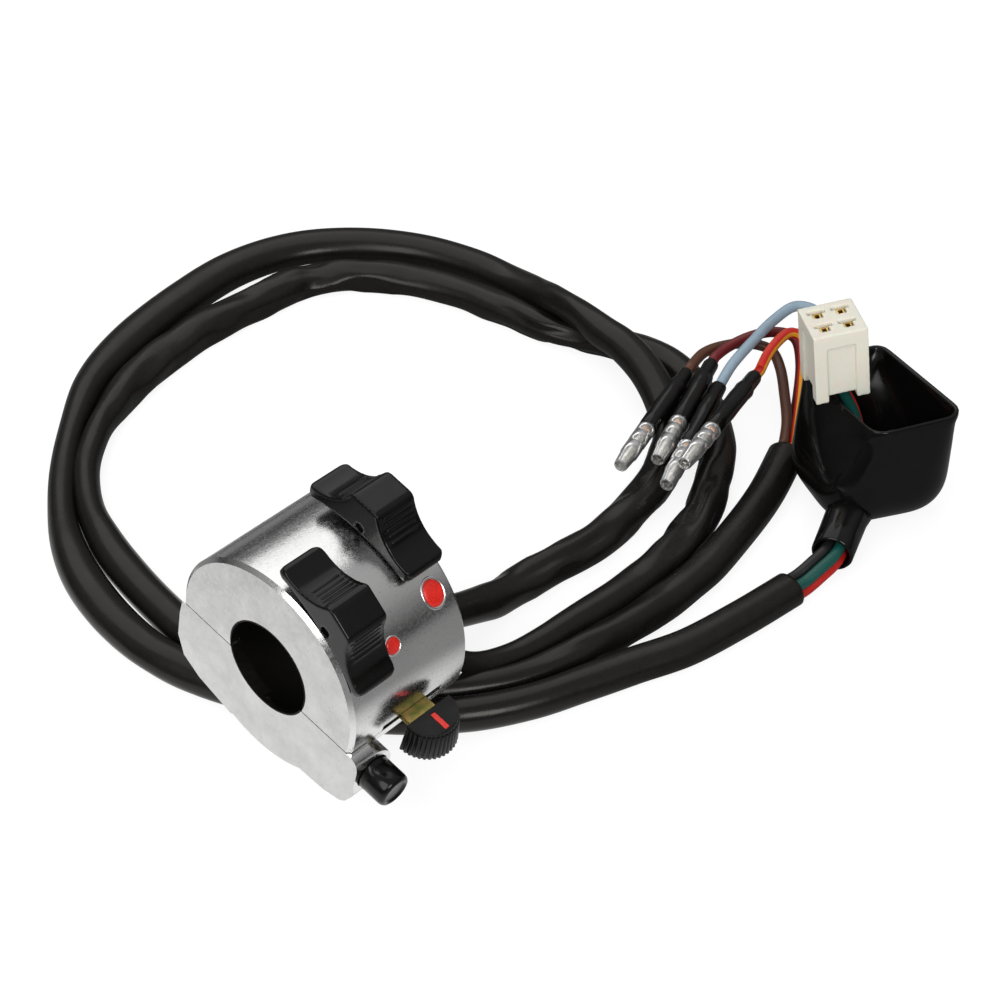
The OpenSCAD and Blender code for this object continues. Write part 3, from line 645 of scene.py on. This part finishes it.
def make_crimp(index):
    """Vinyl sleeve over the crimp, drawn in at the wire and creased where it covers the barrel."""
    name = f"crimp_sleeve_{index + 1}"
    piece = lathe(name, TERM_A[index], TERM_B[index], CRIMP_PROFILE, BOOT_BLACK, 24)
    for v in piece.data.vertices:
        v.co += CREASE_DEPTH * noise.noise_vector(v.co * CREASE_WAVES)
    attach(piece, "housing")
    return piece


def make_sleeve(index):
    """Clear ribbed sleeve over a bullet pin, tapered to its open tip, with the crimped strands behind it."""
    a, b = Vector(TERM_A[index]), Vector(TERM_B[index])
    start = a + CRIMP_LEN * (b - a).normalized()
    sleeve = lathe(f"clear_sleeve_{index + 1}", start, b, CLEAR_PROFILE, CLEAR, 32, closed=False)
    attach(sleeve, "housing")
    collar = lathe(f"strand_collar_{index + 1}", start, b, COLLAR_PROFILE, COPPER, 24)
    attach(collar, "housing")
    return sleeve


sleeves = [make_sleeve(k) for k in range(4)]
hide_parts("bullet_sleeves")
noise.seed_set(CREASE_SEED)
crimps = [make_crimp(k) for k in range(4)]
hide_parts("crimp_sleeves")
tail_side = Vector((-TAIL_DIR.y, TAIL_DIR.x, 0))
for name, (fan, term, route) in TAIL_WIRES.items():
    rise = -1 if fan < 2 else 1
    start = Vector(TAIL_2) + 0.05 * TAIL_DIR + WIRE_FAN * ((fan % 2 * 2 - 1) * tail_side + rise * UP)
    end = Vector(TERM_A[term])
    back = (end - Vector(TERM_B[term])).normalized()
    bend = smooth_route([start + TAIL_LEAD * TAIL_DIR] + route + [end + TAIL_LEAD * back], 0.9)
    make_wire(name, [start] + bend + [end])

neck_start = Vector(TAIL_1) + Vector((0.1, 0, 0))
neck_end = [CONN_AT - 2.4 * CONN_AXIS, CONN_AT - 0.05 * CONN_AXIS]
neck_route = smooth_route([neck_start] + WIRE_VIA + neck_end, 1.0)
for name, (rise, shift) in NECK_WIRES.items():
    make_wire(name, beside(neck_route, rise * WIRE_FAN, shift * WIRE_FAN))


def boot_form():
    """Convex form of the boot as a tree for ray casts, in millimetres."""
    bm = bmesh.new()
    for x, y in BOOT_CORNERS:
        for k in range(32):
            angle = 2 * math.pi * k / 32
            for z in (BOOT_RIM + 2, BOOT_RIM - 1):
                bm.verts.new((x + CORNER_R * math.cos(angle), y + CORNER_R * math.sin(angle), z))
    for x, y in BOOT_LOBES:
        for j in range(25):
            tilt = math.pi * j / 24
            for k in range(48):
                angle = 2 * math.pi * k / 48
                out = LOBE_R * math.sin(tilt)
                z = BOOT_FLOOR + LOBE_R * (1 - math.cos(tilt))
                bm.verts.new((x + out * math.cos(angle), y + out * math.sin(angle), z))
    bmesh.ops.convex_hull(bm, input=bm.verts[:])
    tree = BVHTree.FromBMesh(bm)
    bm.free()
    return tree


def make_boot():
    """Thin moulded boot: outer skin, rolled rim, inner skin, dipped where the connector leans in."""
    tree = boot_form()
    top = sum((Vector((x, y, 0)) for x, y in BOOT_CORNERS), Vector()) / 4
    foot = sum((Vector((x, y, 0)) for x, y in BOOT_LOBES), Vector()) / 3
    around, rows = 112, 40

    def wall(k, share):
        angle = 2 * math.pi * k / around
        out = Vector((math.cos(angle), math.sin(angle), 0))
        rim_at = tree.ray_cast(Vector((top.x, top.y, BOOT_RIM - 1)), out)[0]
        away = (rim_at.xy - CONN_AT.xy).length
        dip = DIP_DEPTH * math.exp(-(away / DIP_REACH) ** 6)
        height = BOOT_RIM - dip - BOOT_FLOOR - FOOT_LIFT
        z = BOOT_FLOOR + FOOT_LIFT + height * share ** ROW_SPREAD
        middle = foot.lerp(top, (z - BOOT_FLOOR) / (BOOT_RIM - BOOT_FLOOR))
        return tree.ray_cast(Vector((middle.x, middle.y, z)), out)[0]

    skin = [[wall(k, i / (rows - 1)) for k in range(around)] for i in range(rows)]
    for _ in range(BOOT_SOFTENING):
        before = [list(row) for row in skin]
        for i in range(1, rows - 2):
            for k in range(around):
                level = before[i][k - 1] + before[i][(k + 1) % around]
                nearest = level + before[i - 1][k] + before[i + 1][k]
                skin[i][k] = 0.5 * before[i][k] + 0.125 * nearest

    def inward(i, k):
        rise = skin[min(i + 1, rows - 1)][k] - skin[max(i - 1, 0)][k]
        return rise.cross(skin[i][(k + 1) % around] - skin[i][k - 1]).normalized()

    vertices = [p for row in skin for p in row]
    for inset, lip in RIM_ROLL:
        vertices += [skin[-1][k] + inset * inward(rows - 1, k) + lip * UP for k in range(around)]
    for i in reversed(range(rows - 1)):
        vertices += [skin[i][k] + SKIN * inward(i, k) for k in range(around)]
    total = 2 * rows + 3
    faces = grid_faces(total, around)
    faces.append(tuple(reversed(range(around))))
    faces.append(tuple(range((total - 1) * around, total * around)))
    piece = new_piece("boot_shell", vertices, faces, BOOT_BLACK)
    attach(piece, "housing")
    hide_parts("boot")
    length = (NECK_B - NECK_A).length
    profile = [(6, 4.15), (0.2, 4.2), (-0.05, 4.45), (0.0, 4.85), (0.5, 5.1), (6, 5.15), (length - 3, 5.3),
               (length + 1, 5.9), (length + 3, 6.4)]
    neck = lathe("boot_neck", NECK_A, NECK_B, profile, BOOT_BLACK, 48, closed=False)
    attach(neck, "housing")


make_boot()


def turned(y, z):
    """Point of the clocked housing, in its own plane across the bar."""
    return y * math.cos(CLOCK) - z * math.sin(CLOCK), y * math.sin(CLOCK) + z * math.cos(CLOCK)


def make_horn():
    """Horn button with a rolled ring round its dished face."""
    x, z = HORN_AT
    start = Vector((x, *turned(0, z)))
    end = Vector((x, *turned(-1, z)))
    tip = HORN_FACE + HORN_PROUD
    profile = [
        (HORN_FACE - 4, HORN_R), (tip - 1.4, HORN_R), (tip - 0.7, HORN_R - 0.12),
        (tip - 0.25, HORN_R - 0.45), (tip - 0.05, HORN_R - 0.9), (tip - 0.05, HORN_R - 1.1),
        (tip - 0.25, HORN_R - 1.35), (tip - 0.5, HORN_R - 1.5), (tip - 0.6, HORN_R - 1.9), (tip - 0.6, 0.4)]
    piece = lathe("horn_cap", start, end, profile, GLOSS_BLACK, 64)
    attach(piece, "horn")
    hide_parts("horn_button")


make_horn()


def make_ribs(body, x, turn, top):
    """Grip ribs across both hollows of a rocker, with round ends."""
    around = 10
    lean = turn + CLOCK
    vertices, faces = [], []
    for side in (-1, 1):
        for rib_turn in RIB_TURNS:
            y = side * (GRIP_Y - RIB_SEAT * math.sin(rib_turn))
            z = top + GRIP_RISE - RIB_SEAT * math.cos(rib_turn) - PIVOT_R
            first = len(vertices)
            for place, share in RIB_ENDS:
                for k in range(around):
                    angle = 2 * math.pi * k / around
                    across = y + share * RIB_R * math.cos(angle)
                    height = z + share * RIB_R * math.sin(angle)
                    spot = Vector((place * RIB_HALF, across, height))
                    spot = Matrix.Rotation(ROCKER_TILT, 3, "X") @ spot + PIVOT_R * UP
                    vertices.append(Matrix.Rotation(lean, 3, "X") @ spot + Vector((x, 0, 0)))
            faces += grid_faces(len(RIB_ENDS), around, first)
    piece = new_piece(body + "_ribs", vertices, faces, GLOSS_BLACK)
    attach(piece, body)


for body, (x, turn, top) in RIBS.items():
    make_ribs(body, x, math.radians(turn), top)


def on_drum(x, turn, height):
    """Point at a height over the housing's round face, in millimetres."""
    out = BODY_R + height
    return Vector((x, -out * math.sin(turn), out * math.cos(turn)))


def drum_rings(name, x, turn, radius, stretch, rings, look, around=48):
    """Piece of rings round a spot on the housing; each ring has a share of the radius and a height."""
    vertices = []
    for share, height in rings:
        for k in range(around):
            angle = 2 * math.pi * k / around
            round_it = stretch * radius * share * math.sin(angle) / BODY_R
            vertices.append(on_drum(x + radius * share * math.cos(angle), turn + round_it, height))
    faces = grid_faces(len(rings), around)
    faces.append(tuple(range((len(rings) - 1) * around, len(rings) * around)))
    piece = new_piece(name, vertices, faces, look)
    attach(piece, "housing")
    return piece


def make_dots():
    """Red paint that stands a little proud of its seat, inside a bright raised lip."""
    for index, (x, turn, radius, stretch) in enumerate(DOTS):
        paint = drum_rings(f"paint_fill_{index + 1}", x, turn, radius, stretch, FILL_RINGS, RED)
        edge = drum_rings(f"dot_lip_{index + 1}", x, turn, radius, stretch, LIP_RINGS, BRIGHT)
        if index == 0:
            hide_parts("paint_dots")


make_dots()


def make_grommets():
    """Rounded rubber grommets where the looms leave the housing."""
    for index, (y, z) in enumerate(EXITS):
        flange = GROMMET_R + 1.7
        barrel = GROMMET_R + 0.9
        profile = [
            (-END_WALL, GROMMET_R), (-END_WALL, barrel - 0.3), (-END_WALL + 0.3, barrel), (0.02, barrel),
            (0.02, flange - 0.2), (0.25, flange), (0.8, flange - 0.05), (1.1, flange - 0.4),
            (1.2, flange - 0.9), (1.2, GROMMET_R + 0.3), (1.0, GROMMET_R)]
        start = Vector((HALF_LEN, y, z))
        end = start + Vector((1, 0, 0))
        piece = lathe(f"grommet_{index + 1}", start, end, profile, SLEEVE, 48, closed=False)
        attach(piece, "housing")
        if index == 0:
            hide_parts("loom_grommets")


make_grommets()


def dress(node, look, edge=0.0):
    """Gives a CAD node its material and, in the render alone, smooth faces and broken edges."""
    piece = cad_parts[node]
    piece.data.materials.clear()
    piece.data.materials.append(look)
    if "custom_normal" in piece.data.attributes:
        piece.data.attributes.remove(piece.data.attributes["custom_normal"])
    piece.data.polygons.foreach_set("use_smooth", [True] * len(piece.data.polygons))
    weld = piece.modifiers.new("weld", "WELD")
    weld.merge_threshold = WELD_AT
    if edge:
        bevel = piece.modifiers.new("edges", "BEVEL")
        bevel.width = edge * MM
        bevel.segments = 2
        bevel.limit_method = "ANGLE"
        bevel.angle_limit = EDGE_ANGLE
    split = piece.modifiers.new("creases", "EDGE_SPLIT")
    split.split_angle = CREASE_ANGLE
    even = piece.modifiers.new("even", "WEIGHTED_NORMAL")
    even.keep_sharp = True


def round_off(node, look, grid, rounds):
    """Gives a moulded CAD node its material and, in the render alone, soft round edges."""
    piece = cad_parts[node]
    piece.data.materials.clear()
    piece.data.materials.append(look)
    remesh = piece.modifiers.new("skin", "REMESH")
    remesh.mode = "VOXEL"
    remesh.voxel_size = grid * MM
    remesh.use_smooth_shade = True
    soft = piece.modifiers.new("soft", "SMOOTH")
    soft.factor = 0.5
    soft.iterations = rounds


# Moulded nodes: look, grid of the rounding in millimetres and rounds of smoothing
MOULDED = {
    "rocker_near": (GLOSS_BLACK, 0.3, 14), "rocker_far": (GLOSS_BLACK, 0.3, 14),
    "connector": (IVORY, 0.2, 4)}
for node, (look, grid, rounds) in MOULDED.items():
    round_off(node, look, grid, rounds)

# Other nodes that keep their CAD form: look and width of the broken edges in millimetres
CAD_LOOKS = {
    "upper_shell": (ALLOY, 0.0), "lower_shell": (ALLOY, 0.0), "insulator": (BOARD_BLACK, 0.0),
    "cradle_near": (BOARD_BLACK, 0.15), "cradle_far": (BOARD_BLACK, 0.15),
    "rocker_pins": (BOARD_BLACK, 0.15),
    "lever_plate": (ZINC, 0.12), "lever_knob": (KNOB_BLACK, 0.12), "lever_mark": (RED, 0.06),
    "lever_pivot": (STEEL, 0.15), "horn_contact": (BRASS, 0.1), "housing_screws": (STEEL, 0.2),
    "bullet_pins": (TIN, 0.1), "connector_terminals": (BRASS, 0.05)}
for node, (look, edge) in CAD_LOOKS.items():
    dress(node, look, edge)


def seen_share(tree):
    """One for what the camera, mirrors and clear pieces see, none for the light that falls."""
    path = tree.nodes.new("ShaderNodeLightPath")
    first = tree.nodes.new("ShaderNodeMath")
    first.operation = "MAXIMUM"
    tree.links.new(path.outputs["Is Camera Ray"], first.inputs[0])
    tree.links.new(path.outputs["Is Glossy Ray"], first.inputs[1])
    second = tree.nodes.new("ShaderNodeMath")
    second.operation = "MAXIMUM"
    tree.links.new(first.outputs[0], second.inputs[0])
    tree.links.new(path.outputs["Is Transmission Ray"], second.inputs[1])
    return path, second.outputs[0]


def table_glow(tree, path):
    """White level of the table: even to the eye, fading away from the part in its reflections."""
    place = tree.nodes.new("ShaderNodeNewGeometry")
    far = tree.nodes.new("ShaderNodeVectorMath")
    far.operation = "DISTANCE"
    far.inputs[1].default_value = (*TABLE_SPOT, REST_Z * MM)
    tree.links.new(place.outputs["Position"], far.inputs[0])
    fade = tree.nodes.new("ShaderNodeMapRange")
    for index, value in ((1, FADE_FROM), (2, FADE_TO), (3, TABLE_WHITE), (4, FADED)):
        fade.inputs[index].default_value = value
    tree.links.new(far.outputs["Value"], fade.inputs[0])
    level = tree.nodes.new("ShaderNodeMix")
    tree.links.new(path.outputs["Is Glossy Ray"], level.inputs[0])
    level.inputs[2].default_value = TABLE_WHITE
    tree.links.new(fade.outputs[0], level.inputs[3])
    return level.outputs[0]


def make_floor():
    """Pale table that looks white and keeps a soft shadow."""
    mesh = bpy.data.meshes.new("floor")
    reach = 3.0
    z = REST_Z * MM
    corners = [(-reach, -reach, z), (reach, -reach, z), (reach, reach, z), (-reach, reach, z)]
    mesh.from_pydata(corners, [], [(0, 1, 2, 3)])
    look = bpy.data.materials.new("floor_white")
    look.use_nodes = True
    tree = look.node_tree
    tree.nodes.clear()
    path, seen = seen_share(tree)
    plain = tree.nodes.new("ShaderNodeBsdfDiffuse")
    plain.inputs["Color"].default_value = rgba(0.82, 0.82, 0.82)
    faint = tree.nodes.new("ShaderNodeBsdfDiffuse")
    faint.inputs["Color"].default_value = rgba(0.22, 0.22, 0.22)
    glow = tree.nodes.new("ShaderNodeEmission")
    tree.links.new(table_glow(tree, path), glow.inputs["Strength"])
    both = tree.nodes.new("ShaderNodeAddShader")
    tree.links.new(faint.outputs[0], both.inputs[0])
    tree.links.new(glow.outputs[0], both.inputs[1])
    pick = tree.nodes.new("ShaderNodeMixShader")
    tree.links.new(seen, pick.inputs[0])
    tree.links.new(plain.outputs[0], pick.inputs[1])
    tree.links.new(both.outputs[0], pick.inputs[2])
    out = tree.nodes.new("ShaderNodeOutputMaterial")
    tree.links.new(pick.outputs[0], out.inputs["Surface"])
    mesh.materials.append(look)
    floor = bpy.data.objects.new("floor", mesh)
    bpy.context.scene.collection.objects.link(floor)


def make_world():
    """White studio: white to the camera, paler overhead than at the horizon in reflections."""
    world = bpy.data.worlds.new("studio")
    bpy.context.scene.world = world
    world.use_nodes = True
    tree = world.node_tree
    tree.nodes.clear()
    path = tree.nodes.new("ShaderNodeLightPath")
    place = tree.nodes.new("ShaderNodeTexCoord")
    split = tree.nodes.new("ShaderNodeSeparateXYZ")
    tree.links.new(place.outputs["Generated"], split.inputs[0])
    ramp = tree.nodes.new("ShaderNodeValToRGB")
    for element, (height, level) in zip(ramp.color_ramp.elements, (HORIZON, OVERHEAD)):
        element.position = height
        element.color = rgba(level, level, level)
    tree.links.new(split.outputs["Z"], ramp.inputs[0])
    room = tree.nodes.new("ShaderNodeBackground")
    room.inputs["Strength"].default_value = ROOM_STRENGTH
    tree.links.new(ramp.outputs[0], room.inputs["Color"])
    white = tree.nodes.new("ShaderNodeBackground")
    white.inputs["Color"].default_value = rgba(1, 1, 1)
    pick = tree.nodes.new("ShaderNodeMixShader")
    tree.links.new(path.outputs["Is Camera Ray"], pick.inputs[0])
    tree.links.new(room.outputs[0], pick.inputs[1])
    tree.links.new(white.outputs[0], pick.inputs[2])
    out = tree.nodes.new("ShaderNodeOutputWorld")
    tree.links.new(pick.outputs[0], out.inputs["Surface"])


def make_lamp(name, at, aim, size, power):
    """Round soft lamp aimed at a point."""
    data = bpy.data.lights.new(name, "AREA")
    data.shape = "DISK"
    data.size = size
    data.energy = power
    lamp = bpy.data.objects.new(name, data)
    lamp.location = at
    lamp.rotation_mode = "QUATERNION"
    lamp.rotation_quaternion = (Vector(aim) - Vector(at)).to_track_quat("-Z", "Y")
    bpy.context.scene.collection.objects.link(lamp)


make_floor()
make_world()
for name, at, size, power in LAMPS:
    make_lamp(name, at, MIDDLE, size, power)

bpy.context.scene.view_settings.view_transform = "Standard"
